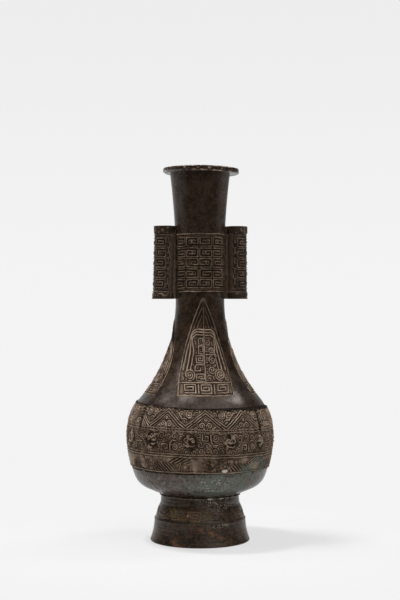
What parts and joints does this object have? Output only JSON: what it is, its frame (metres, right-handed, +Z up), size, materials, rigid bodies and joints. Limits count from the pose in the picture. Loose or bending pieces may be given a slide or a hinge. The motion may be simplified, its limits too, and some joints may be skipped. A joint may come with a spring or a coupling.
{
  "type": "bronze hu vase",
  "caption": "Bottle-shaped bronze hu vase with a flared neck, everted lip, fixed tube handles, cast relief plates on neck, shoulder and belly, and a spreading foot.",
  "frame": {"origin": "centre of the foot's resting face", "axes": "+Z up along the vase's axis; the front blade faces -Y and the tube handles stand on the X axis"},
  "size_m": [0.1, 0.1, 0.25],
  "materials": {
    "bronze_plain": "dark brown patinated bronze, rubbed to a soft gloss",
    "bronze_foot": "dark brown patinated bronze with rust and olive stains",
    "bronze_handle": "dark brown patinated bronze with rubbed relief",
    "bronze_relief": "patinated bronze relief, tan on the ridges and dark in the recesses",
    "solder": "dull pale solder with dirt"
  },
  "bodies": {
    "root": {"lip_ring": "bronze_plain", "neck_tube": "bronze_plain", "shoulder_shell": "bronze_plain", "belly_bowl": "bronze_plain", "base_plate": "bronze_plain", "foot_ring": "bronze_foot", "left_tube_handle": "bronze_handle", "right_tube_handle": "bronze_handle", "neck_panel_front": "bronze_relief", "neck_panel_rear": "bronze_relief", "blade_panel_front": "bronze_relief", "blade_panel_right": "bronze_relief", "blade_panel_rear": "bronze_relief", "blade_panel_left": "bronze_relief", "belly_panel_front": "bronze_relief", "belly_panel_right": "bronze_relief", "belly_panel_rear": "bronze_relief", "belly_panel_left": "bronze_relief", "foot_frieze": "bronze_relief", "foot_solder_bead": "solder"}
  },
  "joints": []
}
